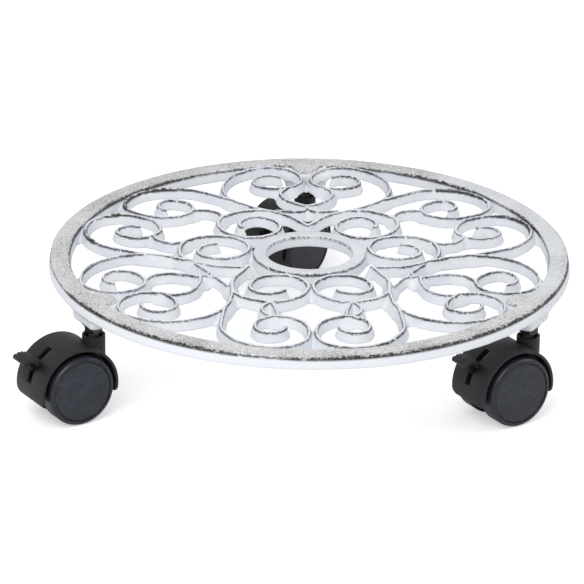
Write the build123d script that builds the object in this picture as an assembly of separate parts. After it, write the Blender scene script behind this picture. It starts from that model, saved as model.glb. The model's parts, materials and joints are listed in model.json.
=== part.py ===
from build123d import *
import math
import os

# A round cast plate with open scrollwork, on three swivelling twin-wheel casters with foot brakes.
# Millimetres. The origin is the plate's centre at the level of its top face, and +Z is up.

# Plate casting
plate_radius = 150.0
plate_thickness = 7.6
rim_width = 11.0
rim_draft = 1.4
hub_hole_radius = 25.1
hub_ring_width = 7.3
hub_draft = 1.2
bar_foot_width = 6.8
bar_ridge_width = 1.8
bar_height = 7.0
branch_slimming = 0.5

# Seats for the caster stems, cast under the rim
stem_inset = 7.8
pad_depth = 9.5
pad_root_width = 20.0
pad_tip_width = 11.0
pad_corner_radius = 3.0
boss_width = 28.0
boss_height = 6.4
boss_tip_narrowing = 4.0
boss_corner_radius = 2.5
boss_inner_reach = 10.5
boss_outer_inset = 0.2

# Height of the whole caddy and the swivel casters' layout
total_height = 67.0
stem_to_axle = 17.3
caster_angles = {"caster_1": 210.0, "caster_2": 330.0, "caster_3": 90.0}
trailing_headings = {"caster_1": 211.9, "caster_2": 213.5, "caster_3": 230.5}

# Stem, lock nut and the ring that holds the stem in the housing
thread_radius = 3.0
thread_clearance = 0.05
thread_depth = 10.0
nut_height = 5.3
nut_flange_height = 2.4
nut_flange_radius = 6.9
nut_across_flats = 10.0
journal_radius = 3.5
journal_length = 24.6
thread_chamfer = 0.5
journal_chamfer = 0.6
running_clearance = 0.05
ring_height = 1.0
ring_proud = 0.5
ring_groove_depth = 0.6
ring_from_stem_end = 4.0
ring_opening = 70.0

# Wheels
wheel_radius = 20.5
wheel_inner_face = 6.2
wheel_outer_face = 18.0
tread_shoulder = 2.7
tread_inner_edge = 1.0
tread_wall = 4.3
cap_gap = 0.2
cap_thickness = 2.2
cap_crown = 0.45
wheel_web_thickness = 2.0
wheel_hub_radius = 5.0
axle_radius = 2.5
axle_end_gap = 0.5

# Caster housing
hood_gap = 2.5
hood_wall = 1.6
hood_half_width = 15.0
hood_trailing_end = 103.0
hood_stem_end = -106.0
hood_corner_radius = 4.0
web_half_width = 5.5
web_below_axle = 4.0
web_hub_radius = 6.5
socket_radius = 6.65
socket_gap = 1.9
counterbore_radius = 5.5
counterbore_depth = 3.0
stem_end_gap = 0.3

# Brake lever
brake_offset = -1.25
slot_width = 4.4
slot_start = 24.0
slot_end = 80.0
lever_side_clearance = 0.3
lever_travel = 10.0
lever_pivot_radius = 8.0
lever_pivot_angle = 38.0
lever_hub_radius = 3.0
lever_pin_radius = 1.2
lever_clearance = 0.4
shoe_clearance = 0.3
shoe_thickness = 1.2
shoe_start = 48.0
shoe_end = 66.0
shoe_half_width = 12.0
shoe_room_before = 14.0
shoe_room_after = 10.0
arm_start = 46.0
arm_end = 63.0
arm_root_before = 15.0
arm_root_after = 22.0
arm_pedal_start = -60.0
arm_pedal_end = 0.0
arm_gusset_radius = 3.5
pedal_arch_radius = 7.2
pedal_arch_trail = 26.2
pedal_arch_height = 14.0
pedal_start = -70.0
pedal_end = 30.0
pedal_thickness = 2.2
pedal_width = 12.5
pedal_bead_radius = 1.7
pedal_ribs = 5
pedal_rib_radius = 0.8
pedal_rib_inset = 0.3
pedal_first_rib = -62.0
pedal_rib_pitch = 17.5

# Worked out from the driving dimensions
rim_inner_radius = plate_radius - rim_width
hub_outer_radius = hub_hole_radius + hub_ring_width
stem_circle_radius = plate_radius - stem_inset
boss_bottom = -(plate_thickness + boss_height)
nut_bottom = boss_bottom - nut_height
socket_top = nut_bottom - socket_gap
axle_height = wheel_radius - total_height
journal_top = socket_top - counterbore_depth + stem_end_gap
stem_bottom = journal_top - journal_length
ring_centre = stem_bottom + ring_from_stem_end
hood_inner_radius = wheel_radius + hood_gap
hood_outer_radius = hood_inner_radius + hood_wall

# The scrollwork is drawn once, on a plate whose hub and rim have these radii, with the unit's
# centre line along +Y. fit_to_rings moves each point out or in to the hub and rim above.
drawn_hub_radius = 32.4
drawn_rim_radius = 139.0

lyre_loop = [
    (36, 20.5), (39.3, 27), (43.5, 36), (45, 46), (42, 60.5), (33, 68), (21, 71.3), (4.8, 60.5), (3, 42),
    (18, 32.3), (33, 41.2), (31.5, 56.3), (15, 54),
]
lyre_bar = [
    (44.7, 44), (45.2, 63), (50, 88.5), (49.3, 114), (37, 130), (21, 134.7), (7, 129), (1.9, 113.5),
    (6, 99), (19, 91.5), (31.8, 101.5), (24, 115), (15, 106.5),
]
heart_bar = [
    (45.6, 67), (51, 83.5), (67.5, 96.8), (90, 98.3), (107.8, 84.5), (105.3, 66), (90, 58.5),
    (77.3, 69), (78.5, 82), (91, 84.3), (96, 74.3),
]
teardrop_side = [(63, 36.4), (64, 46), (67.5, 55.3), (75, 61), (85, 60)]
apex_hook = [(63, 36.4), (55.5, 35.3), (50.7, 42), (47.2, 49)]
scroll_link = [(21, 71), (27, 76.5), (28, 82.5), (21.5, 92)]

# The unit opposite this caster has a second link, which makes an eyelet with the first.
eyelet_link = [(22.5, 72.5), (20.5, 80), (19.3, 91)]
eyelet_opposite = "caster_3"


def unit(x, y):
    length = math.hypot(x, y)
    return x / length, y / length


def fit_to_rings(point):
    """The drawn point, moved along its radius so that the pattern meets this hub and this rim."""
    x, y = point
    radius = math.hypot(x, y)
    share = (radius - drawn_hub_radius) / (drawn_rim_radius - drawn_hub_radius)
    wanted = hub_outer_radius + share * (rim_inner_radius - hub_outer_radius)
    return x * wanted / radius, y * wanted / radius


def tangent_through(a, b, c):
    """The direction at b of the circle through three points."""
    before = math.dist(a, b)
    after = math.dist(b, c)
    x = (b[0] - a[0]) * after / before + (c[0] - b[0]) * before / after
    y = (b[1] - a[1]) * after / before + (c[1] - b[1]) * before / after
    return unit(x, y)


def mirrored_in_chord(direction, a, b):
    """The direction at the far end of an arc from a to b that has this direction at its near end."""
    chord = unit(b[0] - a[0], b[1] - a[1])
    along = direction[0] * chord[0] + direction[1] * chord[1]
    return 2 * along * chord[0] - direction[0], 2 * along * chord[1] - direction[1]


def tangent_arcs(points):
    """Arcs (start, its direction, end, its direction) that run smoothly through the points, two to a span."""
    inner = [tangent_through(*points[i - 1 : i + 2]) for i in range(1, len(points) - 1)]
    first = mirrored_in_chord(inner[0], points[1], points[0])
    last = mirrored_in_chord(inner[-1], points[-2], points[-1])
    directions = [first] + inner + [last]
    chain = []
    for a, b, at_a, at_b in zip(points, points[1:], directions, directions[1:]):
        span = (b[0] - a[0], b[1] - a[1])
        forward = span[0] * (at_a[0] + at_b[0]) + span[1] * (at_a[1] + at_b[1])
        turn = 2 * (1 - at_a[0] * at_b[0] - at_a[1] * at_b[1])
        square = span[0] ** 2 + span[1] ** 2
        reach = square / (forward + math.sqrt(forward**2 + turn * square))
        joint_x = (a[0] + reach * at_a[0] + b[0] - reach * at_b[0]) / 2
        joint_y = (a[1] + reach * at_a[1] + b[1] - reach * at_b[1]) / 2
        joint = (joint_x, joint_y)
        at_joint = mirrored_in_chord(at_a, a, joint)
        chain.append((a, at_a, joint, at_joint))
        chain.append((joint, at_joint, b, at_b))
    return chain


def beside(point, direction, distance):
    return point[0] - direction[1] * distance, point[1] + direction[0] * distance


def arc_middle(start, direction, end):
    """The middle of an arc and its direction there, which is the chord's."""
    chord = unit(end[0] - start[0], end[1] - start[1])
    half_turn = math.asin(direction[0] * chord[1] - direction[1] * chord[0])
    sag = math.dist(start, end) / 2 * math.tan(half_turn / 2)
    middle = ((start[0] + end[0]) / 2 + chord[1] * sag, (start[1] + end[1]) / 2 - chord[0] * sag)
    return middle, chord


def round_cap(point, direction, half_width):
    """A half circle round a bar's end, from the bar's left side to its right side."""
    tip = (point[0] + direction[0] * half_width, point[1] + direction[1] * half_width)
    return ThreePointArc(beside(point, direction, half_width), tip, beside(point, direction, -half_width))


def bar_outline(chain, half_width):
    """The closed outline of a bar of this half width along a chain of arcs."""
    left = []
    right = []
    for start, at_start, end, at_end in chain:
        middle, at_middle = arc_middle(start, at_start, end)
        stations = [(start, at_start), (middle, at_middle), (end, at_end)]
        left.append(ThreePointArc(*[beside(p, d, half_width) for p, d in stations]))
        right.insert(0, ThreePointArc(*[beside(p, d, -half_width) for p, d in reversed(stations)]))
    far_point, far_direction = chain[-1][2:]
    near_point, near_direction = chain[0][:2]
    far_cap = round_cap(far_point, far_direction, half_width)
    near_cap = round_cap(near_point, (-near_direction[0], -near_direction[1]), half_width)
    return Wire(left + [far_cap] + right + [near_cap])


def scroll_bar(points, slimming=0.0):
    """A bar of drafted section along the drawn points, from a wide foot to a narrow ridge."""
    chain = tangent_arcs([fit_to_rings(point) for point in points])
    foot = bar_outline(chain, (bar_foot_width - slimming) / 2)
    ridge = bar_outline(chain, (bar_ridge_width - slimming / 2) / 2)
    return Solid.make_loft([Pos(0, 0, -bar_height) * foot, ridge], ruled=True)


def scroll_unit(with_eyelets):
    """A scroll unit: bars, of which those that branch off another are slimmer, and their mirror images."""
    half = [
        scroll_bar(lyre_loop),
        scroll_bar(lyre_bar, branch_slimming),
        scroll_bar(heart_bar, 2 * branch_slimming),
        scroll_bar(teardrop_side, branch_slimming),
        scroll_bar(apex_hook, 2 * branch_slimming),
        scroll_bar(scroll_link, branch_slimming),
    ]
    if with_eyelets:
        half.append(scroll_bar(eyelet_link, branch_slimming))
    return half + [mirror(bar, Plane.YZ) for bar in half]


def ring(profile):
    """A ring round the Z axis from (radius, height) points."""
    face = Plane.XZ * make_face(Polyline(*profile, close=True))
    return revolve(face, Axis.Z)


def rim():
    bottom = -plate_thickness
    return ring([
        (rim_inner_radius, 0), (plate_radius, 0),
        (plate_radius + rim_draft, bottom), (rim_inner_radius - rim_draft, bottom),
    ])


def hub_ring():
    bottom = -plate_thickness
    return ring([
        (hub_hole_radius, 0), (hub_outer_radius, 0),
        (hub_outer_radius + hub_draft, bottom), (hub_hole_radius, bottom),
    ])


def stem_pad():
    """The flat tongue that carries the rim's top face in over a stem seat, drawn along +X."""
    tip = rim_inner_radius - pad_depth
    root = rim_inner_radius + rim_width / 2
    outline = make_face(Polyline(
        (root, -pad_root_width / 2), (root, pad_root_width / 2),
        (tip, pad_tip_width / 2), (tip, -pad_tip_width / 2), close=True,
    ))
    tip_corners = outline.vertices().sort_by(Axis.X)[:2]
    outline = fillet(tip_corners, pad_corner_radius)
    return extrude(Pos(0, 0, -plate_thickness) * outline, plate_thickness)


def stem_boss():
    """The block under the rim that takes a stem, along +X, narrower at its lower end."""
    outer = plate_radius - boss_outer_inset
    inner = rim_inner_radius - boss_inner_reach
    height = boss_height + plate_thickness / 2
    root = Rectangle(outer - inner, boss_width)
    root = fillet(root.vertices(), boss_corner_radius)
    tip = Rectangle(outer - inner - boss_tip_narrowing / 2, boss_width - boss_tip_narrowing)
    tip = fillet(tip.vertices(), boss_corner_radius)
    middle = (outer + inner) / 2
    root = Pos(middle, 0, boss_bottom + height) * root
    tip = Pos(middle + boss_tip_narrowing / 4, 0, boss_bottom) * tip
    return loft([tip.face(), root.face()], ruled=True)


def plate():
    """The whole casting: rim, hub, three mirrored scroll units, three stem pads and their bosses."""
    added = [hub_ring()]
    for caster, angle in caster_angles.items():
        opposite = Rot(0, 0, angle + 180 - 90)
        added += [opposite * bar for bar in scroll_unit(caster == eyelet_opposite)]
        added += [Rot(0, 0, angle) * stem_pad(), Rot(0, 0, angle) * stem_boss()]
    casting = rim().fuse(*added)
    thread_hole = Cylinder(
        thread_radius + thread_clearance, thread_depth, align=(Align.CENTER, Align.CENTER, Align.MIN)
    )
    for angle in caster_angles.values():
        casting -= Rot(0, 0, angle) * Pos(stem_circle_radius, 0, boss_bottom) * thread_hole
    return casting


def upright(radius, low, high):
    """A cylinder on the stem's axis between two heights."""
    return Pos(0, 0, low) * Cylinder(radius, high - low, align=(Align.CENTER, Align.CENTER, Align.MIN))


def stem():
    """The threaded stem, with the smooth journal that turns in the housing."""
    thread = upright(thread_radius, journal_top, boss_bottom + thread_depth)
    journal = upright(journal_radius, stem_bottom, journal_top)
    thread = chamfer(thread.edges().sort_by(Axis.Z)[-1], thread_chamfer)
    journal = chamfer(journal.edges().sort_by(Axis.Z)[0], journal_chamfer)
    groove_half = ring_height / 2 + running_clearance
    groove = upright(journal_radius * 2, ring_centre - groove_half, ring_centre + groove_half)
    core_radius = journal_radius - ring_groove_depth
    groove -= upright(core_radius, ring_centre - groove_half, ring_centre + groove_half)
    return thread + journal - groove


def lock_nut():
    """The flanged hexagon nut that locks the stem against the boss."""
    flange_low = boss_bottom - nut_flange_height
    hexagon = RegularPolygon(nut_across_flats / 2, 6, major_radius=False)
    body = extrude(Pos(0, 0, nut_bottom) * hexagon, nut_height)
    crown = Pos(0, 0, nut_bottom) * Cone(
        nut_across_flats / 2, nut_across_flats / 2 + nut_height, nut_height,
        align=(Align.CENTER, Align.CENTER, Align.MIN),
    )
    flange = Pos(0, 0, flange_low) * Cone(
        nut_across_flats / 2, nut_flange_radius, nut_flange_height,
        align=(Align.CENTER, Align.CENTER, Align.MIN),
    )
    bore = upright(thread_radius + thread_clearance, nut_bottom, boss_bottom)
    return (body & crown) + flange - bore


def retaining_ring():
    """The open spring ring that sits in the stem's groove and holds the housing up on the stem."""
    low = ring_centre - ring_height / 2
    high = ring_centre + ring_height / 2
    whole = upright(journal_radius + ring_proud, low, high)
    whole -= upright(journal_radius - ring_groove_depth + running_clearance, low, high)
    reach = 2 * journal_radius
    half_opening = math.radians(ring_opening / 2)
    corner = (reach * math.cos(half_opening), reach * math.sin(half_opening))
    wedge = make_face(Polyline((0, 0), corner, (corner[0], -corner[1]), close=True))
    return whole - extrude(Pos(0, 0, low) * wedge, ring_height)


def round_axle(radius, angle):
    """A point round the axle, as (trailing distance, height). Angle 0 is straight up, 90 trails."""
    return radius * math.sin(math.radians(angle)), radius * math.cos(math.radians(angle))


def round_arch(radius, angle):
    """A point round the middle of the pedal's arch, as (trailing distance, height) from the axle."""
    trail, height = round_axle(radius, angle)
    return pedal_arch_trail + trail, pedal_arch_height + height


def across(face, low, high):
    """A face drawn round the axle, as (trailing distance, height), made solid between two places across."""
    standing = Plane((stem_to_axle, low, axle_height), x_dir=(1, 0, 0), z_dir=(0, -1, 0)) * face
    return extrude(standing, high - low, dir=(0, 1, 0))


def sector(inner, outer, start, end):
    """A ring sector round the axle."""
    middle = (start + end) / 2
    edges = [
        ThreePointArc(round_axle(outer, start), round_axle(outer, middle), round_axle(outer, end)),
        Line(round_axle(outer, end), round_axle(inner, end)),
        ThreePointArc(round_axle(inner, end), round_axle(inner, middle), round_axle(inner, start)),
        Line(round_axle(inner, start), round_axle(outer, start)),
    ]
    return make_face(edges)


def disc(radius, centre=(0, 0)):
    return Pos(*centre) * Circle(radius)


lever_pivot = round_axle(lever_pivot_radius, lever_pivot_angle)


def hood():
    """The curved cover over both wheels, with its lower corners rounded."""
    shell = across(
        sector(hood_inner_radius, hood_outer_radius, hood_stem_end, hood_trailing_end),
        -hood_half_width, hood_half_width,
    )
    radial_edges = shell.edges().filter_by(lambda edge: edge.geom_type == GeomType.LINE)
    radial_edges = radial_edges.filter_by(lambda edge: edge.length < 2 * hood_wall)
    return fillet(radial_edges, hood_corner_radius)


def housing():
    """The moulded housing: hood, middle web with the axle and stem bores, stem socket and brake slot."""
    web = disc(hood_inner_radius + hood_wall / 2)
    below = Pos(0, -web_below_axle - hood_outer_radius) * Rectangle(
        3 * hood_outer_radius, 2 * hood_outer_radius
    )
    web = (web - below) & sector_cover()
    web = web + disc(web_hub_radius)
    body = hood() + across(web, -web_half_width, web_half_width)
    socket = upright(socket_radius, axle_height, socket_top)
    socket -= across(disc(hood_inner_radius), -hood_half_width, hood_half_width)
    body = body + socket
    body -= upright(counterbore_radius, socket_top - counterbore_depth, socket_top)
    bore_radius = journal_radius + running_clearance
    body -= upright(bore_radius, stem_bottom - stem_end_gap, socket_top)
    groove_half = ring_height / 2 + stem_end_gap
    groove_radius = journal_radius + ring_proud + stem_end_gap
    body -= upright(groove_radius, ring_centre - groove_half, ring_centre + groove_half)
    body -= across(disc(axle_radius), -web_half_width, web_half_width)
    body -= across(disc(lever_pin_radius, lever_pivot), -web_half_width, web_half_width)
    slot = sector(lever_pivot_radius, hood_outer_radius + hood_wall, slot_start, slot_end)
    slot += disc(lever_hub_radius + lever_clearance, lever_pivot)
    body -= across(slot, brake_offset - slot_width / 2, brake_offset + slot_width / 2)
    body -= across(shoe_room(), -web_half_width, web_half_width)
    return body


def sector_cover():
    """All that lies within the hood's arc, seen from the side."""
    reach = hood_inner_radius + hood_wall / 2
    return sector(axle_radius, reach, hood_stem_end, hood_trailing_end)


def shoe_room():
    """The space between web and hood in which the brake shoe swings."""
    low = wheel_radius - shoe_clearance
    return sector(low, hood_inner_radius, shoe_start - shoe_room_before, shoe_end + shoe_room_after)


def brake_lever():
    """The lever: a hub on the pin, an arm out through the slot, an arched and ribbed pedal and a shoe."""
    thickness = slot_width - 2 * lever_side_clearance
    arm_low = brake_offset - thickness / 2
    arm_high = brake_offset + thickness / 2
    pedal_middle = pedal_arch_radius - pedal_thickness / 2
    arm = make_face(Polyline(
        round_axle(lever_pivot_radius, lever_pivot_angle - arm_root_before),
        round_axle(hood_outer_radius, arm_start),
        round_arch(pedal_middle, arm_pedal_start),
        round_arch(pedal_middle, (arm_pedal_start + arm_pedal_end) / 2),
        round_arch(pedal_middle, arm_pedal_end),
        round_arch(arm_gusset_radius, arm_pedal_end),
        round_axle(hood_outer_radius, arm_end),
        round_axle(lever_pivot_radius + lever_hub_radius, lever_pivot_angle + arm_root_after),
        close=True,
    ))
    lever = across(arm + disc(lever_hub_radius, lever_pivot), arm_low, arm_high)
    tread = Pos(pedal_arch_trail, pedal_arch_height) * sector(
        pedal_arch_radius - pedal_thickness, pedal_arch_radius, pedal_start, pedal_end
    )
    tread += disc(pedal_bead_radius, round_arch(pedal_middle, pedal_end))
    for i in range(pedal_ribs):
        rib_angle = pedal_first_rib + i * pedal_rib_pitch
        tread += disc(pedal_rib_radius, round_arch(pedal_arch_radius - pedal_rib_inset, rib_angle))
    lever += across(tread, brake_offset - pedal_width / 2, brake_offset + pedal_width / 2)
    braked_shoe = sector(
        wheel_radius + shoe_clearance, wheel_radius + shoe_clearance + shoe_thickness, shoe_start, shoe_end
    )
    shoe = across(braked_shoe, -shoe_half_width, shoe_half_width)
    pivot_line = Axis((stem_to_axle + lever_pivot[0], 0, axle_height + lever_pivot[1]), (0, 1, 0))
    lever += shoe.rotate(pivot_line, -lever_travel)
    lever -= across(disc(lever_pin_radius + running_clearance, lever_pivot), arm_low, arm_high)
    return lever


def lever_pin():
    return across(disc(lever_pin_radius, lever_pivot), -web_half_width, web_half_width)


def axle():
    end = wheel_outer_face - cap_thickness - axle_end_gap
    return across(disc(axle_radius), -end, end)


def turned(section):
    """A (radius, place across) section turned round the axle."""
    face = Plane((stem_to_axle, 0, axle_height), x_dir=(0, 0, 1), z_dir=(-1, 0, 0)) * section
    return revolve(face, Axis((stem_to_axle, 0, axle_height), (0, 1, 0)))


def wheel():
    """One nylon wheel on the +Y side: tread with a round shoulder, web, hub, and a recess for its cap."""
    cap_seat = wheel_outer_face - cap_thickness
    cap_radius = wheel_radius - tread_shoulder - cap_gap
    hub_end = cap_seat - axle_end_gap / 2
    hub_start = web_half_width + lever_side_clearance
    web_end = wheel_inner_face + wheel_web_thickness
    inside = wheel_radius - tread_wall
    face = make_face([
        Polyline(
            (axle_radius + running_clearance, hub_start), (wheel_hub_radius, hub_start),
            (wheel_hub_radius, wheel_inner_face), (wheel_radius - tread_inner_edge, wheel_inner_face),
            (wheel_radius, wheel_inner_face + tread_inner_edge),
            (wheel_radius, wheel_outer_face - tread_shoulder),
        ),
        ThreePointArc(
            (wheel_radius, wheel_outer_face - tread_shoulder),
            (
                wheel_radius - tread_shoulder * (1 - math.sqrt(0.5)),
                wheel_outer_face - tread_shoulder * (1 - math.sqrt(0.5)),
            ),
            (wheel_radius - tread_shoulder, wheel_outer_face),
        ),
        Polyline(
            (wheel_radius - tread_shoulder, wheel_outer_face), (cap_radius + cap_gap, cap_seat),
            (inside, cap_seat), (inside, web_end), (wheel_hub_radius, web_end),
            (wheel_hub_radius, hub_end), (axle_radius + running_clearance, hub_end),
            (axle_radius + running_clearance, hub_start),
        ),
    ])
    return turned(face)


def wheel_cap():
    """The slightly domed disc that closes a wheel's outer face."""
    radius = wheel_radius - tread_shoulder - cap_gap
    inner = wheel_outer_face - cap_thickness
    dome_radius = (radius**2 + cap_crown**2) / (2 * cap_crown)
    half_angle = math.asin(radius / dome_radius) / 2
    middle_drop = dome_radius * (1 - math.cos(half_angle))
    face = make_face([
        Polyline(
            (0, wheel_outer_face), (0, inner), (radius, inner), (radius, wheel_outer_face - cap_crown),
        ),
        ThreePointArc(
            (radius, wheel_outer_face - cap_crown),
            (dome_radius * math.sin(half_angle), wheel_outer_face - middle_drop),
            (0, wheel_outer_face),
        ),
    ])
    return turned(face)


def caster_pieces():
    """Every piece of one caster, standing with its stem on the Z axis and its wheels trailing along +X."""
    right_wheel = wheel()
    right_cap = wheel_cap()
    return {
        "stem": stem(),
        "lock_nut": lock_nut(),
        "retaining_ring": retaining_ring(),
        "housing": housing(),
        "brake_lever": brake_lever(),
        "lever_pin": lever_pin(),
        "axle": axle(),
        "right_wheel": right_wheel,
        "right_cap": right_cap,
        "left_wheel": mirror(right_wheel, Plane.XZ),
        "left_cap": mirror(right_cap, Plane.XZ),
    }


def model():
    """Every node of the caddy by name."""
    nodes = {"plate": plate()}
    pieces = caster_pieces()
    for caster, angle in caster_angles.items():
        x = stem_circle_radius * math.cos(math.radians(angle))
        y = stem_circle_radius * math.sin(math.radians(angle))
        place = Pos(x, y, 0) * Rot(0, 0, trailing_headings[caster])
        for name, shape in pieces.items():
            nodes[f"{caster}_{name}"] = place * shape
    return nodes


os.makedirs("parts", exist_ok=True)
for name, shape in model().items():
    export_step(shape, f"parts/{name}.step")
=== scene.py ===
import math

import bmesh
import bpy
import numpy as np
from mathutils import Matrix, Vector
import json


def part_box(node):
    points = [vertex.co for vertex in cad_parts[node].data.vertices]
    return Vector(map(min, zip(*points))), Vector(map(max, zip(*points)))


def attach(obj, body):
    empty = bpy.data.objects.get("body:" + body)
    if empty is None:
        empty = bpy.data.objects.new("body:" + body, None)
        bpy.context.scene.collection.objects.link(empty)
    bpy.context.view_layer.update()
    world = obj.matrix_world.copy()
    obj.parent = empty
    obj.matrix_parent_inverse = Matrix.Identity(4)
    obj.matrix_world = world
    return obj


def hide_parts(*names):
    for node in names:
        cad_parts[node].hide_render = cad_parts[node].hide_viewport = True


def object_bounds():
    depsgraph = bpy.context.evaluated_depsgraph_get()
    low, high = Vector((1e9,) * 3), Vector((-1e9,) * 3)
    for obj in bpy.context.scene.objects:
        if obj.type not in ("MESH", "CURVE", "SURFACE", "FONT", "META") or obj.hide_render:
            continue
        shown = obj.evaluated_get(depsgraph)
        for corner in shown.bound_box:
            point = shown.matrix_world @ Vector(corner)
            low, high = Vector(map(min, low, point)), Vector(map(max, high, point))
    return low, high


# A round cast plate with open scrollwork on three swivelling twin-wheel casters.
# Shapes are worked out in millimetres, in the frame's axes, and made in metres.

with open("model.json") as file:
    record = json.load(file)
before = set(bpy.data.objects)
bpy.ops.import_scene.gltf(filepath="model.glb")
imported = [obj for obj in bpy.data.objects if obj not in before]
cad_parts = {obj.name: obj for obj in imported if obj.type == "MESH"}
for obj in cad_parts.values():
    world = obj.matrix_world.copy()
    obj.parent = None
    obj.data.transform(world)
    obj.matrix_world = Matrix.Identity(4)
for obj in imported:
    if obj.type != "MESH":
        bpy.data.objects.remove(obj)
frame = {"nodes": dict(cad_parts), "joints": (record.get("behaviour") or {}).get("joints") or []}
cad_low, cad_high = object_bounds()
mm = 0.001

# Camera, as the photograph was taken
image_width = 584
focal_length_pixels = 4113.6
camera_distance = 2.38708
camera_elevation = math.degrees(0.394160541)
camera_azimuth = -1.25
camera_pan = math.degrees(0.00410811571)
camera_tilt = math.degrees(-0.00987247972)
camera_roll = math.degrees(0.0117669175)
sensor_width = 36.0

# Room and floor, in metres
floor_half = 4.0
floor_lift = 0.45
room_colour = (0.95, 0.97, 1.0, 1)
room_strength = 0.55

# Plate casting, as in the solid model
plate_radius = 150.0
plate_thickness = 7.6
rim_width = 11.0
rim_draft = 1.4
hub_hole_radius = 25.1
hub_ring_width = 7.3
hub_draft = 1.2
bar_foot_width = 6.8
bar_ridge_width = 1.8
bar_height = 7.0
branch_slimming = 0.5
stem_inset = 7.8
stem_hole_radius = 3.05
stem_hole_top = -4.0
pad_depth = 9.5
pad_root_width = 20.0
pad_tip_width = 11.0
boss_width = 28.0
boss_height = 6.4
boss_tip_narrowing = 4.0
boss_inner_reach = 10.5
boss_outer_inset = 0.2
caster_angles = {"caster_1": 210.0, "caster_2": 330.0, "caster_3": 90.0}

# How the casting is softened, and how finely its surface is made
cell = 0.75
crest_rounding = 0.8
foot_rounding = 0.8
corner_rounding = 3.0
boss_rounding = 1.6
ring_blend = 1.0
crest_blend = 1.0
foot_blend_growth = 2.4
pad_blend = 0.6
boss_blend = 2.5
waviness = 0.2
wall_slope = 0.94
wall_curve = 1.15
most_triangles = 190000

# Wheels, as in the solid model
wheel_radius = 20.5
wheel_inner_face = 6.2
wheel_outer_face = 18.0
tread_shoulder = 2.7
tread_wall = 4.3
cap_gap = 0.2
cap_thickness = 2.2
cap_crown = 0.45
wheel_web_thickness = 2.0
wheel_hub_radius = 5.0
axle_radius = 2.5
running_clearance = 0.05
hub_start = 5.8
axle_end_gap = 0.5
wheel_inner_rounding = 0.8
groove_lip = 0.35
cap_rounding = 0.4
lathe_steps = 160

rim_inner_radius = plate_radius - rim_width
hub_outer_radius = hub_hole_radius + hub_ring_width
stem_circle_radius = plate_radius - stem_inset
hub_end = wheel_outer_face - cap_thickness - axle_end_gap / 2
drawn_hub_radius = 32.4
drawn_rim_radius = 139.0

lyre_loop = [
    (36, 20.5), (39.3, 27), (43.5, 36), (45, 46), (42, 60.5), (33, 68), (21, 71.3), (4.8, 60.5), (3, 42),
    (18, 32.3), (33, 41.2), (31.5, 56.3), (15, 54),
]
lyre_bar = [
    (44.7, 44), (45.2, 63), (50, 88.5), (49.3, 114), (37, 130), (21, 134.7), (7, 129), (1.9, 113.5),
    (6, 99), (19, 91.5), (31.8, 101.5), (24, 115), (15, 106.5),
]
heart_bar = [
    (45.6, 67), (51, 83.5), (67.5, 96.8), (90, 98.3), (107.8, 84.5), (105.3, 66), (90, 58.5),
    (77.3, 69), (78.5, 82), (91, 84.3), (96, 74.3),
]
teardrop_side = [(63, 36.4), (64, 46), (67.5, 55.3), (75, 61), (85, 60)]
apex_hook = [(63, 36.4), (55.5, 35.3), (50.7, 42), (47.2, 49)]
scroll_link = [(21, 71), (27, 76.5), (28, 82.5), (21.5, 92)]
eyelet_link = [(22.5, 72.5), (20.5, 80), (19.3, 91)]
eyelet_opposite = "caster_3"
scroll_bars = [
    (lyre_loop, 0.0),
    (lyre_bar, branch_slimming),
    (heart_bar, 2 * branch_slimming),
    (teardrop_side, branch_slimming),
    (apex_hook, 2 * branch_slimming),
    (scroll_link, branch_slimming),
]


def unit(vector):
    return vector / np.linalg.norm(vector)


def fit_to_rings(point):
    """The drawn point, moved along its radius so that the pattern meets this hub and this rim."""
    radius = math.hypot(*point)
    share = (radius - drawn_hub_radius) / (drawn_rim_radius - drawn_hub_radius)
    wanted = hub_outer_radius + share * (rim_inner_radius - hub_outer_radius)
    return np.array(point) * wanted / radius


def turned_left(vector, angle):
    cosine, sine = math.cos(angle), math.sin(angle)
    return np.array([vector[0] * cosine - vector[1] * sine, vector[0] * sine + vector[1] * cosine])


def turn_to_chord(direction, start, end):
    """The signed angle from a direction to the chord between two points."""
    chord = end - start
    across = direction[0] * chord[1] - direction[1] * chord[0]
    return math.atan2(across, direction @ chord)


def tangent_directions(points):
    """The direction of a smooth line at each of its points, from circles through three neighbours."""
    inner = []
    for before, here, after in zip(points, points[1:], points[2:]):
        first = np.linalg.norm(here - before)
        second = np.linalg.norm(after - here)
        inner.append(unit((here - before) * second / first + (after - here) * first / second))
    start = turned_left(unit(points[1] - points[0]), turn_to_chord(-inner[0], points[1], points[0]))
    end = turned_left(unit(points[-1] - points[-2]), turn_to_chord(inner[-1], points[-2], points[-1]))
    return [start] + inner + [end]


def arc_points(start, direction, end, spacing=0.5):
    """Points along the arc that leaves start in a direction and reaches end."""
    half_turn = turn_to_chord(direction, start, end)
    chord = np.linalg.norm(end - start)
    count = max(2, math.ceil(chord / spacing))
    found = []
    for share in np.arange(count) / count:
        if abs(half_turn) < 1e-6:
            reach = chord * share
        else:
            reach = chord * math.sin(half_turn * share) / math.sin(half_turn)
        found.append(start + turned_left(direction, half_turn * share) * reach)
    return found


def centre_line(drawn):
    """Closely spaced points along a bar's centre line, which is two tangent arcs to each span."""
    points = [fit_to_rings(point) for point in drawn]
    directions = tangent_directions(points)
    line = []
    for a, b, at_a, at_b in zip(points, points[1:], directions, directions[1:]):
        span = b - a
        forward = span @ (at_a + at_b)
        turn = 2 * (1 - at_a @ at_b)
        reach = span @ span / (forward + math.sqrt(forward**2 + turn * (span @ span)))
        joint = (a + reach * at_a + b - reach * at_b) / 2
        at_joint = turned_left(at_a, 2 * turn_to_chord(at_a, a, joint))
        line += arc_points(a, at_a, joint) + arc_points(joint, at_joint, b)
    line.append(points[-1])
    return np.array(line)


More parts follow.
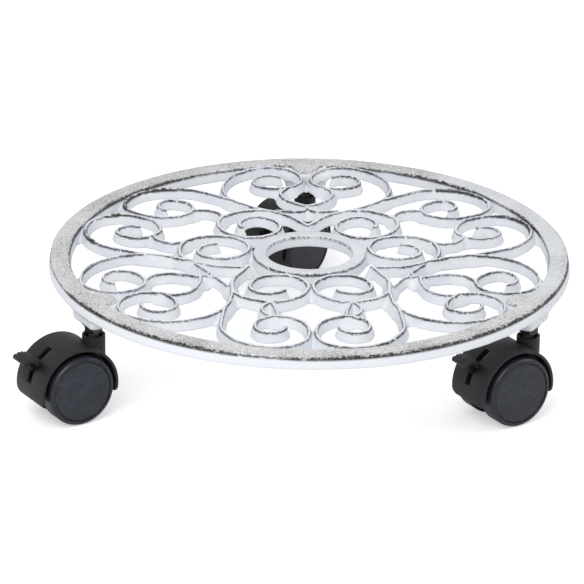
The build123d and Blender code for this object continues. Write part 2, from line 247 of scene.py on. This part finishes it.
def distance_to_line(x, y, line):
    """How far each (x, y) is from a line of straight runs."""
    best = np.full(x.shape, 1e9, np.float32)
    for (ax, ay), (bx, by) in zip(line, line[1:]):
        dx, dy = bx - ax, by - ay
        share = np.clip(((x - ax) * dx + (y - ay) * dy) / (dx * dx + dy * dy), 0, 1)
        np.minimum(best, (x - ax - share * dx) ** 2 + (y - ay - share * dy) ** 2, out=best)
    return np.sqrt(best)


def smooth_max(a, b, width):
    """The larger of two fields, rounded where they are nearly alike."""
    return np.maximum(a, b) + np.maximum(width - np.abs(a - b), 0) ** 2 / (4 * width)


def smooth_min(a, b, width):
    return -smooth_max(-a, -b, width)


def ripple(x, y, z):
    """A slow unevenness between 0 and 1, such as a sand casting has."""
    broad = np.sin(0.31 * x + 0.17 * y + 1.0) * np.sin(0.23 * y - 0.29 * x + 2.0 + 0.3 * z)
    fine = np.sin(1.1 * x + 0.4 * y + 0.8 * z) * np.sin(0.93 * y - 0.5 * x + 0.6)
    return 0.5 + 0.3 * broad + 0.2 * fine


def plate_field(x, y, z):
    """Roughly the distance to the casting's surface in millimetres, negative inside it, and, seen from
    above, the distances to the edge of the broad top faces and to the edge of any top face."""
    radius = np.sqrt(x**2 + y**2)
    depth = np.clip(-z / plate_thickness, 0, 1)
    rim = np.maximum(radius - plate_radius, rim_inner_radius - radius) - rim_draft * depth
    hub = np.maximum(radius - hub_outer_radius - hub_draft * depth, hub_hole_radius - radius)
    blend = crest_blend + foot_blend_growth * depth
    field = smooth_min(rim, hub, ring_blend)
    field = smooth_max(field, -plate_thickness - z, foot_rounding)
    bar_edge = add_bars(field, x, y, z, blend)
    flat = radius[0]
    rim_edge = np.abs(flat - (plate_radius + rim_inner_radius) / 2) - rim_width / 2
    hub_edge = np.abs(flat - (hub_hole_radius + hub_outer_radius) / 2) - hub_ring_width / 2
    broad_edge = np.minimum(rim_edge, hub_edge)
    for angle in caster_angles.values():
        turn = math.radians(angle)
        along = x * math.cos(turn) + y * math.sin(turn)
        beside = np.abs(y * math.cos(turn) - x * math.sin(turn))
        pad = pad_field(along, beside, z)
        broad_edge = np.minimum(broad_edge, pad[-1])
        field = smooth_min(field, pad, pad_blend)
        field = smooth_min(field, boss_field(along, beside, z), boss_blend)
    field = smooth_max(field, z, crest_rounding)
    field += waviness * ripple(x, y, z)
    for angle in caster_angles.values():
        turn = math.radians(angle)
        hole = np.hypot(x - stem_circle_radius * math.cos(turn), y - stem_circle_radius * math.sin(turn))
        field = np.maximum(field, np.minimum(stem_hole_radius - hole, stem_hole_top - z))
    return field, broad_edge, np.minimum(broad_edge, bar_edge)


def pad_field(along, beside, z):
    """The flat tongue that carries the rim's top face in over a stem seat."""
    tip = rim_inner_radius - pad_depth
    root = rim_inner_radius + rim_width / 2
    half_width = pad_tip_width / 2 + (along - tip) / (root - tip) * (pad_root_width - pad_tip_width) / 2
    outline = smooth_max(beside - half_width, tip - along, corner_rounding)
    outline = np.maximum(outline, along - root)
    return np.maximum(outline, -plate_thickness - z)


def boss_field(along, beside, z):
    """The block under the rim that takes a stem, narrower and rounded at its lower end."""
    bottom = -plate_thickness - boss_height
    low = np.clip((z + plate_thickness / 2) / (bottom + plate_thickness / 2), 0, 1)
    outer = plate_radius - boss_outer_inset
    inner = rim_inner_radius - boss_inner_reach + boss_tip_narrowing / 2 * low
    half_width = boss_width / 2 - boss_tip_narrowing / 2 * low
    ends = np.maximum(along - outer, inner - along)
    outline = smooth_max(beside - half_width, ends, 2 * boss_rounding)
    block = smooth_max(outline, bottom - z, boss_rounding)
    return np.maximum(block, z + plate_thickness / 2)


def add_bars(field, x, y, z, blend):
    """Joins every scroll bar to the field, each over the part of the grid that it reaches, and gives the
    distance from the edge of the nearest ridge."""
    margin = bar_foot_width
    deepest = 1.2
    ridge_edge = np.full(x.shape[1:], margin, np.float32)
    xs, ys = x[0, 0, :], y[0, :, 0]
    depth = np.clip(-z[:, :1, :1] / bar_height, 0, deepest)
    bottom = -bar_height - z[:, :1, :1]
    for drawn, slimming in scroll_bars + [(eyelet_link, branch_slimming)]:
        foot = (bar_foot_width - slimming) / 2
        ridge = (bar_ridge_width - slimming / 2) / 2
        half_width = ridge + (foot - ridge) * depth**wall_curve
        line = centre_line(drawn)
        for caster_name, angle in caster_angles.items():
            if drawn is eyelet_link and caster_name != eyelet_opposite:
                continue
            for side in (1, -1):
                turn = Matrix.Rotation(math.radians(angle + 180 - 90), 2)
                placed = (line * [side, 1]) @ np.array(turn).T
                low, high = placed.min(0) - margin, placed.max(0) + margin
                cols = slice(np.searchsorted(xs, low[0]), np.searchsorted(xs, high[0]))
                rows = slice(np.searchsorted(ys, low[1]), np.searchsorted(ys, high[1]))
                flat = distance_to_line(x[0, rows, cols], y[0, rows, cols], placed)
                bar = (flat[None] - half_width) * wall_slope
                bar = smooth_max(bar, bottom, foot_rounding)
                part = (slice(None), rows, cols)
                field[part] = smooth_min(field[part], bar, blend[part])
                ridge_edge[part[1:]] = np.minimum(ridge_edge[part[1:]], flat - ridge)
    return ridge_edge


def surface_net(field, origin, step):
    """Points and four-sided faces of the surface where a field over a regular grid is zero."""
    shape = np.array(field.shape) - 1
    inside = field < 0
    corners = [np.array([i, j, k]) for i in (0, 1) for j in (0, 1) for k in (0, 1)]
    held = np.zeros(shape, np.int8)
    for corner in corners:
        held += inside[tuple(slice(corner[a], corner[a] + shape[a]) for a in range(3))]
    cells = np.argwhere((held > 0) & (held < 8))
    number = np.full(shape, -1, np.int32)
    number[tuple(cells.T)] = np.arange(len(cells))
    total = np.zeros((len(cells), 3))
    crossings = np.zeros(len(cells))
    for axis in range(3):
        along = np.eye(3, dtype=int)[axis]
        for corner in corners:
            if corner[axis]:
                continue
            near = cells + corner
            a = field[tuple(near.T)]
            b = field[tuple((near + along).T)]
            crossed = (a < 0) != (b < 0)
            share = a[crossed] / (a[crossed] - b[crossed])
            total[crossed] += near[crossed] + share[:, None] * along
            crossings[crossed] += 1
    points = total / crossings[:, None] * step + origin
    faces = []
    for axis in range(3):
        u, v = np.eye(3, dtype=int)[(axis + 1) % 3], np.eye(3, dtype=int)[(axis + 2) % 3]
        near = tuple(slice(0, -1) if a == axis else slice(1, -1) for a in range(3))
        far = tuple(slice(1, None) if a == axis else slice(1, -1) for a in range(3))
        a, b = inside[near], inside[far]
        start = np.array([0 if i == axis else 1 for i in range(3)])
        for leaving in (True, False):
            edges = np.argwhere((a & ~b) if leaving else (b & ~a)) + start
            around = [edges - u - v, edges - v, edges, edges - u]
            quad = np.stack([number[tuple(c.T)] for c in around], 1)
            faces.append(quad if leaving else quad[:, ::-1])
    return points, np.concatenate(faces)


def mesh_object(name, points, faces, material):
    """A smooth-shaded object from points in millimetres, indexed in (x, y, z) order."""
    mesh = bpy.data.meshes.new(name)
    mesh.vertices.add(len(points))
    mesh.vertices.foreach_set("co", (np.asarray(points) * mm).astype(np.float32).ravel())
    sides = faces.shape[1]
    mesh.loops.add(faces.size)
    mesh.loops.foreach_set("vertex_index", faces.astype(np.int32).ravel())
    mesh.polygons.add(len(faces))
    mesh.polygons.foreach_set("loop_start", np.arange(0, faces.size, sides, dtype=np.int32))
    mesh.update(calc_edges=True)
    mesh.validate()
    mesh.shade_smooth()
    mesh.materials.append(material)
    made = bpy.data.objects.new(name, mesh)
    bpy.context.scene.collection.objects.link(made)
    return made


def apply_modifiers(made):
    """Turns an object's modifiers into its mesh."""
    depsgraph = bpy.context.evaluated_depsgraph_get()
    final = bpy.data.meshes.new_from_object(made.evaluated_get(depsgraph), depsgraph=depsgraph)
    made.modifiers.clear()
    made.data = final


def cast_plate(material):
    """The plate with softened junctions, crests and corners, in the place of the plate's solid."""
    reach = plate_radius + rim_draft + 2 * cell
    bottom = -plate_thickness - boss_height - 2 * cell
    flat = np.arange(-reach, reach + cell, cell, dtype=np.float32)
    upright = np.arange(bottom, 3 * cell, cell, dtype=np.float32)
    z, y, x = np.meshgrid(upright, flat, flat, indexing="ij")
    field, broad_edge, top_edge = plate_field(x, y, z)
    points, faces = surface_net(field, np.array([bottom, flat[0], flat[0]]), cell)
    made = mesh_object("cast_plate", points[:, ::-1], faces[:, ::-1], material)
    thin = made.modifiers.new("fewer_faces", "DECIMATE")
    thin.ratio = min(1.0, most_triangles / (2 * len(faces)))
    apply_modifiers(made)
    made.data.shade_smooth()
    add_distance(made.data, "from_broad", broad_edge, flat[0])
    add_distance(made.data, "from_edge", top_edge, flat[0])
    return made


def add_distance(mesh, name, grid, start):
    """Keeps at each point of a mesh the value that a flat grid of distances has there."""
    places = np.empty(len(mesh.vertices) * 3, np.float32)
    mesh.vertices.foreach_get("co", places)
    across, along = (places.reshape(-1, 3)[:, :2].T / mm - start) / cell
    col, row = across.astype(int), along.astype(int)
    u, v = across - col, along - row
    near = grid[row, col] * (1 - u) + grid[row, col + 1] * u
    far = grid[row + 1, col] * (1 - u) + grid[row + 1, col + 1] * u
    attribute = mesh.attributes.new(name, "FLOAT", "POINT")
    attribute.data.foreach_set("value", (near * (1 - v) + far * v).astype(np.float32))


class Nodes:
    """Short words for making a material's nodes."""

    def __init__(self, name):
        self.material = bpy.data.materials.new(name)
        self.material.use_nodes = True
        self.tree = self.material.node_tree
        self.shader = self.tree.nodes["Principled BSDF"]
        place = self.new("ShaderNodeTexCoord").outputs["Object"]
        self.place = self.vector("SCALE", place, scale=1 / mm)
        parts = self.new("ShaderNodeSeparateXYZ")
        self.link(self.place, parts.inputs[0])
        self.x, self.y, self.z = parts.outputs

    def new(self, kind):
        return self.tree.nodes.new(kind)

    def link(self, value, socket):
        """Joins a node's output, or sets a plain value."""
        if isinstance(value, bpy.types.NodeSocket):
            self.tree.links.new(value, socket)
        else:
            socket.default_value = value

    def vector(self, operation, a, b=None, scale=None):
        node = self.new("ShaderNodeVectorMath")
        node.operation = operation
        self.link(a, node.inputs[0])
        if b is not None:
            self.link(b, node.inputs[1])
        if scale is not None:
            node.inputs["Scale"].default_value = scale
        return node.outputs["Value"] if operation == "LENGTH" else node.outputs["Vector"]

    def math(self, operation, a, b=None, c=None):
        node = self.new("ShaderNodeMath")
        node.operation = operation
        for value, socket in zip((a, b, c), node.inputs):
            if value is not None:
                self.link(value, socket)
        return node.outputs[0]

    def add(self, a, b):
        return self.math("ADD", a, b)

    def subtract(self, a, b):
        return self.math("SUBTRACT", a, b)

    def times(self, a, b):
        return self.math("MULTIPLY", a, b)

    def most(self, a, b):
        return self.math("MAXIMUM", a, b)

    def swing(self, noise, reach):
        """Noise about 0 instead of a half, and times reach."""
        return self.times(self.subtract(noise, 0.5), reach)

    def ramp(self, value, low, high):
        """0 below low, 1 above high, and smooth between. low may be above high."""
        node = self.new("ShaderNodeMapRange")
        node.interpolation_type = "SMOOTHSTEP"
        flipped = low > high
        self.link(value, node.inputs["Value"])
        node.inputs["From Min"].default_value = min(low, high)
        node.inputs["From Max"].default_value = max(low, high)
        node.inputs["To Min"].default_value = float(flipped)
        node.inputs["To Max"].default_value = 1.0 - float(flipped)
        return node.outputs["Result"]

    def attribute(self, name):
        node = self.new("ShaderNodeAttribute")
        node.attribute_name = name
        return node.outputs["Fac"]

    def near_angle(self, centre, reach):
        """1 within some degrees of a direction from the middle of the plate, and 0 well beyond."""
        turn = self.subtract(self.math("ARCTAN2", self.y, self.x), math.radians(centre))
        off = self.math("ABSOLUTE", self.math("WRAP", turn, math.pi, -math.pi))
        return self.ramp(off, math.radians(reach + 5), math.radians(reach - 5))

    def noise(self, size, detail=2.0, roughness=0.5, offset=0.0):
        """Noise whose lumps are about this many millimetres across, from 0 to 1."""
        node = self.new("ShaderNodeTexNoise")
        node.inputs["Scale"].default_value = 1 / size
        node.inputs["Detail"].default_value = detail
        node.inputs["Roughness"].default_value = roughness
        moved = self.vector("ADD", self.place, (offset, 2.3 * offset, -1.7 * offset))
        self.link(moved, node.inputs["Vector"])
        return node.outputs["Fac"]

    def mix(self, share, a, b):
        node = self.new("ShaderNodeMix")
        node.data_type = "RGBA"
        self.link(share, node.inputs["Factor"])
        self.link(a, node.inputs[6])
        self.link(b, node.inputs[7])
        return node.outputs[2]

    def bump(self, height, strength, distance):
        node = self.new("ShaderNodeBump")
        node.inputs["Strength"].default_value = strength
        node.inputs["Distance"].default_value = distance * mm
        self.link(height, node.inputs["Height"])
        self.link(node.outputs["Normal"], self.shader.inputs["Normal"])

    def finish(self, colour, roughness, metallic=0.0):
        self.link(colour, self.shader.inputs["Base Color"])
        self.link(roughness, self.shader.inputs["Roughness"])
        self.shader.inputs["Metallic"].default_value = metallic
        return self.material


def grey(value, warmth=0.0):
    """A grey of this linear value, warmer or, below 0, cooler."""
    return (value * (1 + warmth), value, value * (1 - warmth), 1.0)


# Colours of the plate, as linear values; the bars' wall colours are darkened as painted shade, and the
# rim's outer side is lightened as painted light
shaded_wall_cool = (0.76, 0.79, 0.85, 1)
shaded_wall_plain = (0.83, 0.84, 0.86, 1)
lit_rim_side = (0.88, 0.90, 0.94, 1)
wash_dark = (0.66, 0.65, 0.64, 1)
wash_light = (0.78, 0.77, 0.76, 1)
pore_dark = (0.14, 0.13, 0.12, 1)
iron_dark = (0.004, 0.003, 0.003, 1)
iron_light = (0.03, 0.022, 0.02, 1)

# Colours of the plastics
hood_dark = (0.0075, 0.0065, 0.007, 1.0)
hood_light = (0.019, 0.0165, 0.018, 1.0)
wheel_dark = (0.008, 0.009, 0.014, 1.0)
wheel_light = (0.02, 0.023, 0.034, 1.0)
cap_light = (0.036, 0.04, 0.06, 1.0)

# Where the wash is rubbed through most along the rim, and where the hub's inner edge gets a wider dark
# line, as directions in degrees and how far each reaches to a side
worn_outer_edge = [(213, 8), (236, 15), (284, 16), (318, 24), (356, 16)]
worn_inner_edge = [(178, 12), (140, 14), (52, 12), (21, 6)]
hub_edge_dark_stretches = [(130, 30), (60, 15)]

# The worn line along an edge, in millimetres: where it runs, how wide it is and how deep it reaches
line_place = 0.15
line_half_width = 0.15
line_swell = 0.1
flake_width = 0.36
least_flake_width = 0.08
faintest_line = 0.8
worn_depth = 3.2

# Where the rim's side is flecked, and where its top is paler
specked_side = [(346, 16)]
pale_side = [(15, 42)]


def plate_paint():
    """White wash over sand-cast iron, rubbed through to dark iron along the crests and edges.

    The broad top faces are thinly washed, with dark pores, and the walls keep a clean coat; the bars'
    walls carry painted shade and the rim's outer side carries painted light.
    """
    n = Nodes("plate_paint")
    flat = n.new("ShaderNodeCombineXYZ")
    n.link(n.x, flat.inputs[0])
    n.link(n.y, flat.inputs[1])
    radius = n.vector("LENGTH", flat.outputs[0])
    from_edge = n.attribute("from_edge")
    from_broad = n.attribute("from_broad")
    fine = n.noise(0.5, 3.0, 0.7)
    grain = n.noise(1.1, 3.0, 0.65, 11.0)
    patch = n.noise(3.0, 3.0, 0.6, 23.0)
    broad = n.noise(30.0, 1.0, 0.5, 37.0)

    pads_start = rim_inner_radius - pad_depth - 4
    outer_start = plate_radius - 4
    on_rim = n.ramp(radius, pads_start, pads_start + 1)
    near_outer = n.ramp(radius, outer_start, outer_start + 1)
    outer = n.times(near_outer, any_of(n, worn_outer_edge))
    inner = n.times(n.subtract(on_rim, near_outer), any_of(n, worn_inner_edge))
    hub_middle = hub_hole_radius + hub_ring_width / 2
    in_hub = n.ramp(radius, hub_middle, hub_middle - 1)
    # The hub's inner edge gets a slightly wider dark line in these stretches at the back.
    hub = n.times(n.times(in_hub, any_of(n, hub_edge_dark_stretches)), 0.12)
    heavy = n.most(n.most(outer, inner), hub)
    worn = edge_wear(n, from_edge, fine, grain, patch, broad, heavy)

    on_broad = n.times(n.ramp(from_broad, 0.1, -0.3), n.ramp(n.z, -1.2, -0.7))
    rubbed = n.times(on_broad, n.add(n.times(on_rim, 0.65), 0.35))
    rubbed = n.times(rubbed, n.subtract(1.0, n.times(any_of(n, pale_side), 0.55)))
    pores = n.noise(0.9, 2.0, 0.8, 71.0)
    dusty = n.add(n.swing(broad, 0.25), n.times(heavy, 0.03))
    speckle = n.times(n.ramp(n.subtract(pores, dusty), 0.475, 0.4), rubbed)
    stray = n.times(n.ramp(grain, 0.4, 0.36), n.times(near_outer, any_of(n, specked_side)))

    tint = n.ramp(n.noise(18.0, 2.0, 0.5, 51.0), 0.35, 0.65)
    # Painted shade: the bars' walls are a darker copy of the white coat.
    wall_light_and_shade = n.mix(tint, shaded_wall_cool, shaded_wall_plain)
    # Painted light: the rim's outer side is a lighter copy of the same coat.
    lit_outer_wall = n.ramp(radius, plate_radius - 1.5, plate_radius - 0.5)
    wall_light_and_shade = n.mix(lit_outer_wall, wall_light_and_shade, lit_rim_side)
    wash = n.mix(n.ramp(patch, 0.35, 0.65), wash_dark, wash_light)
    paint = n.mix(n.times(rubbed, 0.9), wall_light_and_shade, wash)
    paint = n.mix(n.times(speckle, 0.75), paint, pore_dark)
    iron = n.mix(n.ramp(grain, 0.4, 0.6), iron_dark, iron_light)
    colour = n.mix(n.most(worn, stray), paint, iron)
    height = n.add(n.times(fine, 0.3), n.add(n.times(grain, 0.6), n.times(patch, 1.4)))
    n.bump(n.subtract(height, n.times(speckle, 0.3)), 0.4, 0.3)
    return n.finish(colour, n.add(0.5, n.times(worn, 0.15)))


def any_of(n, stretches):
    """1 in any of these stretches round the plate, each a direction and its reach in degrees."""
    found = 0.0
    for centre, reach in stretches:
        found = n.most(found, n.near_angle(centre, reach))
    return found


def edge_wear(n, from_edge, fine, grain, patch, broad, heavy):
    """Dark iron along the top faces' edges: a ragged line, thick in stretches and broken in others."""
    ragged = n.add(n.swing(fine, 2.0), n.swing(grain, 1.5))
    off = n.math("ABSOLUTE", n.add(n.subtract(from_edge, line_place), n.times(ragged, 0.7)))
    uneven = n.add(ragged, n.swing(patch, 2.5))
    flaked = n.times(heavy, n.most(n.add(n.times(uneven, 1.4), flake_width), least_flake_width))
    swell = n.times(n.ramp(broad, 0.42, 0.6), line_swell)
    line = n.ramp(n.subtract(off, n.add(swell, n.add(flaked, line_half_width))), 0.08, -0.06)
    kept = n.most(n.ramp(patch, 0.32, 0.42), heavy)
    full = n.add(n.times(n.ramp(grain, 0.38, 0.5), 1 - faintest_line), faintest_line)
    return n.times(n.times(line, n.times(kept, full)), n.ramp(n.z, -worn_depth, -worn_depth / 2))


def moulded_plastic(name, dark, light, roughness, grain_size, grain_strength):
    """Black plastic with a fine moulded grain and a slight mottle."""
    n = Nodes(name)
    grain = n.noise(grain_size, 2.0, 0.6)
    mottle = n.noise(grain_size * 9, 3.0, 0.6, 5.0)
    share = n.add(n.times(grain, 0.8), n.times(mottle, 0.2))
    colour = n.mix(n.ramp(share, 0.42, 0.6), dark, light)
    n.bump(n.add(grain, n.times(mottle, 0.6)), grain_strength, 0.12)
    return n.finish(colour, n.add(roughness, n.swing(grain, 0.12)))


def oiled_steel(name, colour, rust, roughness):
    """Dark steel with brownish patches and turning marks."""
    n = Nodes(name)
    stain = n.noise(2.2, 3.0, 0.6)
    scratch = n.noise(0.35, 2.0, 0.5, 9.0)
    n.bump(n.add(scratch, stain), 0.15, 0.08)
    shade = n.mix(n.ramp(stain, 0.4, 0.65), colour, rust)
    return n.finish(shade, n.add(roughness, n.times(scratch, 0.15)), 0.85)


def rounded_copy(node, name, material, width, segments=2):
    """A copy of a solid's surface with its edges rounded, in that solid's place."""
    source = frame["nodes"][node].data
    shape = bmesh.new()
    shape.from_mesh(source)
    bmesh.ops.remove_doubles(shape, verts=shape.verts, dist=1e-6)
    bmesh.ops.dissolve_limit(
        shape, angle_limit=math.radians(0.5), verts=shape.verts, edges=shape.edges, delimit=set()
    )
    mesh = bpy.data.meshes.new(name)
    shape.to_mesh(mesh)
    shape.free()
    mesh.materials.clear()
    mesh.materials.append(material)
    made = bpy.data.objects.new(name, mesh)
    bpy.context.scene.collection.objects.link(made)
    bevel = made.modifiers.new("round_edges", "BEVEL")
    bevel.width = width * mm
    bevel.segments = segments
    bevel.limit_method = "ANGLE"
    bevel.angle_limit = math.radians(32)
    bevel.use_clamp_overlap = True
    apply_modifiers(made)
    made.data.shade_smooth()
    made.data.set_sharp_from_angle(angle=math.radians(40))
    return made


def stand_in(made, node, body):
    """Puts a piece in a solid's place: the solid is hidden and the piece rides on the body."""
    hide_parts(node)
    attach(made, body)


def lathe(name, profile, centre, axis, material):
    """A piece turned round an axle, from (radius, distance across) points of a closed outline."""
    axis = Vector(axis).normalized()
    upright = Vector((0, 0, 1))
    trailing = upright.cross(axis)
    points = []
    for i in range(lathe_steps):
        turn = 2 * math.pi * i / lathe_steps
        outward = trailing * math.cos(turn) + upright * math.sin(turn)
        points += [centre + outward * r + axis * across for r, across in profile]
    count = len(profile)
    faces = []
    for i in range(lathe_steps):
        for j in range(count):
            a = i * count + j
            b = i * count + (j + 1) % count
            shift = count if i + 1 < lathe_steps else count - lathe_steps * count
            faces.append((a, b, b + shift, a + shift))
    made = mesh_object(name, np.array([list(p) for p in points]), np.array(faces), material)
    shape = bmesh.new()
    shape.from_mesh(made.data)
    bmesh.ops.remove_doubles(shape, verts=shape.verts, dist=1e-7)
    bmesh.ops.recalc_face_normals(shape, faces=shape.faces)
    shape.to_mesh(made.data)
    shape.free()
    made.data.shade_smooth()
    made.data.set_sharp_from_angle(angle=math.radians(50))
    return made


def round_corner(centre, radius, start, end, steps=8):
    """Points of a profile's arc between two angles, where 0 is outward and 90 is across."""
    turns = [math.radians(start + (end - start) * i / steps) for i in range(steps + 1)]
    return [(centre[0] + radius * math.cos(t), centre[1] + radius * math.sin(t)) for t in turns]


def wheel_profile():
    """The wheel's section: tread, round shoulder, the groove beside its cap, web and hub."""
    seat = wheel_outer_face - cap_thickness
    cap_radius = wheel_radius - tread_shoulder - cap_gap
    web_end = wheel_inner_face + wheel_web_thickness
    inside = wheel_radius - tread_wall
    profile = [(axle_radius + running_clearance, hub_start), (wheel_hub_radius, hub_start)]
    profile += [(wheel_hub_radius, wheel_inner_face)]
    profile += round_corner(
        (wheel_radius - wheel_inner_rounding, wheel_inner_face + wheel_inner_rounding),
        wheel_inner_rounding, -90, 0,
    )
    profile += round_corner(
        (wheel_radius - tread_shoulder, wheel_outer_face - tread_shoulder), tread_shoulder, 0, 80, 12
    )
    lip_centre = (cap_radius + cap_gap + groove_lip, wheel_outer_face - groove_lip)
    profile += round_corner(lip_centre, groove_lip, 90, 180, 4)
    profile += [(cap_radius + cap_gap, seat), (inside, seat), (inside, web_end)]
    profile += [(wheel_hub_radius, web_end), (wheel_hub_radius, hub_end)]
    profile += [(axle_radius + running_clearance, hub_end)]
    return profile


def cap_profile():
    """The cap's section: a slightly domed face with a rounded rim."""
    radius = wheel_radius - tread_shoulder - cap_gap
    inner = wheel_outer_face - cap_thickness
    reach = radius - cap_rounding
    dome = (reach**2 + cap_crown**2) / (2 * cap_crown)
    profile = [(0.0, inner), (radius, inner)]
    profile += round_corner(
        (reach, wheel_outer_face - cap_crown - cap_rounding), cap_rounding, 0, 88, 5
    )
    for share in np.linspace(0.98, 0, 14):
        r = reach * share
        profile.append((r, wheel_outer_face - dome + math.sqrt(dome**2 - r**2)))
    return profile


def wheel_pair(caster, wheel_material, cap_material):
    """Both wheels and caps of a caster, turned round the axle that the joint gives."""
    joint = next(j for j in frame["joints"] if j["name"] == f"{caster}_right_wheel_joint")
    centre = Vector(joint["pos_m"]) / mm
    right = Vector(joint["axis"])
    for side, axis in (("right", right), ("left", -right)):
        if not_outward(f"{caster}_{side}_wheel", centre, axis):
            axis = -axis
        body = f"{caster}_{side}"
        wheel = lathe(f"{caster}_{side}_tread", wheel_profile(), centre, axis, wheel_material)
        stand_in(wheel, f"{caster}_{side}_wheel", body)
        cap = lathe(f"{caster}_{side}_disc", cap_profile(), centre, axis, cap_material)
        stand_in(cap, f"{caster}_{side}_cap", body)


def not_outward(node, centre, axis):
    """Whether a wheel lies on the other side of the caster than the axis points to."""
    low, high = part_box(node)
    middle = (low + high) / 2 / mm
    return (middle - centre).dot(axis) < 0


def caster(name, materials):
    """One caster's visible pieces in the place of their solids."""
    for node, material, body, slot_name, width in (
        ("housing", "housing", f"{name}_swivel", "housing_plastic", 0.35),
        ("brake_lever", "lever", f"{name}_brake", "lever_plastic", 0.3),
        ("lock_nut", "nut", "plate", "nut_steel", 0.25),
    ):
        made = rounded_copy(f"{name}_{node}", f"{name}_{node}_skin", materials[material], width)
        stand_in(made, f"{name}_{node}", body)
    wheel_pair(name, materials["wheel"], materials["cap"])
    for node in ("stem", "retaining_ring", "lever_pin", "axle"):
        solid = frame["nodes"][f"{name}_{node}"]
        solid.data.materials.clear()
        solid.data.materials.append(materials["steel"])


def pale_floor():
    """A wide floor that is white to the camera and keeps a faint shadow."""
    mesh = bpy.data.meshes.new("floor")
    corners = [(-floor_half, -floor_half), (floor_half, -floor_half)]
    corners += [(floor_half, floor_half), (-floor_half, floor_half)]
    mesh.from_pydata([(x, y, cad_low.z) for x, y in corners], [], [(0, 1, 2, 3)])
    floor = bpy.data.objects.new("floor", mesh)
    bpy.context.scene.collection.objects.link(floor)
    material = bpy.data.materials.new("floor")
    material.use_nodes = True
    tree = material.node_tree
    shader = tree.nodes["Principled BSDF"]
    shader.inputs["Base Color"].default_value = grey(0.82)
    shader.inputs["Roughness"].default_value = 0.9
    shader.inputs["Emission Color"].default_value = (1, 1, 1, 1)
    rays = tree.nodes.new("ShaderNodeLightPath")
    lift = tree.nodes.new("ShaderNodeMath")
    lift.operation = "MULTIPLY"
    lift.inputs[1].default_value = floor_lift
    tree.links.new(rays.outputs["Is Camera Ray"], lift.inputs[0])
    tree.links.new(lift.outputs[0], shader.inputs["Emission Strength"])
    mesh.materials.append(material)


def studio_light():
    """Soft light from a pale room, a large lamp above the front left and a fill from the right."""
    world = bpy.data.worlds.new("room")
    bpy.context.scene.world = world
    world.use_nodes = True
    tree = world.node_tree
    background = tree.nodes["Background"]
    background.inputs["Color"].default_value = room_colour
    background.inputs["Strength"].default_value = room_strength
    white = tree.nodes.new("ShaderNodeBackground")
    white.inputs["Strength"].default_value = 1.0
    rays = tree.nodes.new("ShaderNodeLightPath")
    seen = tree.nodes.new("ShaderNodeMath")
    seen.operation = "MAXIMUM"
    tree.links.new(rays.outputs["Is Camera Ray"], seen.inputs[0])
    tree.links.new(rays.outputs["Is Transmission Ray"], seen.inputs[1])
    mix = tree.nodes.new("ShaderNodeMixShader")
    tree.links.new(seen.outputs[0], mix.inputs[0])
    tree.links.new(background.outputs[0], mix.inputs[1])
    tree.links.new(white.outputs[0], mix.inputs[2])
    tree.links.new(mix.outputs[0], tree.nodes["World Output"].inputs["Surface"])
    lamp("front_lamp", (-0.5, -1.1, 1.3), 1.0, 16.0)
    lamp("side_lamp", (1.2, 0.2, 1.0), 0.9, 5.0)


def lamp(name, place, size, power):
    """A square soft lamp that points at the plate, placed in metres."""
    data = bpy.data.lights.new(name, "AREA")
    data.size = size
    data.energy = power
    made = bpy.data.objects.new(name, data)
    made.location = place
    made.rotation_euler = (-Vector(place)).to_track_quat("-Z", "Y").to_euler()
    bpy.context.scene.collection.objects.link(made)


def aim_camera():
    """The camera at the photograph's place and angle."""
    elevation = math.radians(camera_elevation)
    forward = Vector((0, math.cos(elevation), -math.sin(elevation)))
    right = Vector((1, 0, 0))
    axes = Matrix((right, right.cross(forward), -forward)).transposed()
    axes = axes @ Matrix.Rotation(math.radians(camera_pan), 3, "Y")
    axes = axes @ Matrix.Rotation(math.radians(camera_tilt), 3, "X")
    axes = axes @ Matrix.Rotation(math.radians(camera_roll), 3, "Z")
    round_object = Matrix.Rotation(math.radians(camera_azimuth), 3, "Z")
    data = bpy.data.cameras.new("camera")
    data.sensor_width = sensor_width
    data.lens = focal_length_pixels / image_width * sensor_width
    data.clip_start = 0.1
    data.clip_end = 20.0
    camera = bpy.data.objects.new("camera", data)
    camera.matrix_world = Matrix.LocRotScale(
        round_object @ (-forward * camera_distance), (round_object @ axes).to_quaternion(), None
    )
    bpy.context.scene.collection.objects.link(camera)
    bpy.context.scene.camera = camera


aim_camera()
pale_floor()
studio_light()
bpy.context.scene.view_settings.view_transform = "Standard"

finishes = {
    "housing": moulded_plastic("housing_plastic", hood_dark, hood_light, 0.5, 0.5, 0.25),
    "lever": moulded_plastic("lever_plastic", hood_dark, hood_light, 0.4, 0.3, 0.2),
    "wheel": moulded_plastic("wheel_plastic", wheel_dark, wheel_light, 0.38, 0.9, 0.4),
    "cap": moulded_plastic("cap_plastic", wheel_dark, cap_light, 0.42, 0.6, 0.6),
    "nut": oiled_steel("nut_steel", grey(0.1, 0.08), grey(0.05, 0.25), 0.32),
    "steel": oiled_steel("stem_steel", grey(0.3), grey(0.2, 0.1), 0.3),
}
stand_in(cast_plate(plate_paint()), "plate", "plate")
for caster_name in caster_angles:
    caster(caster_name, finishes)
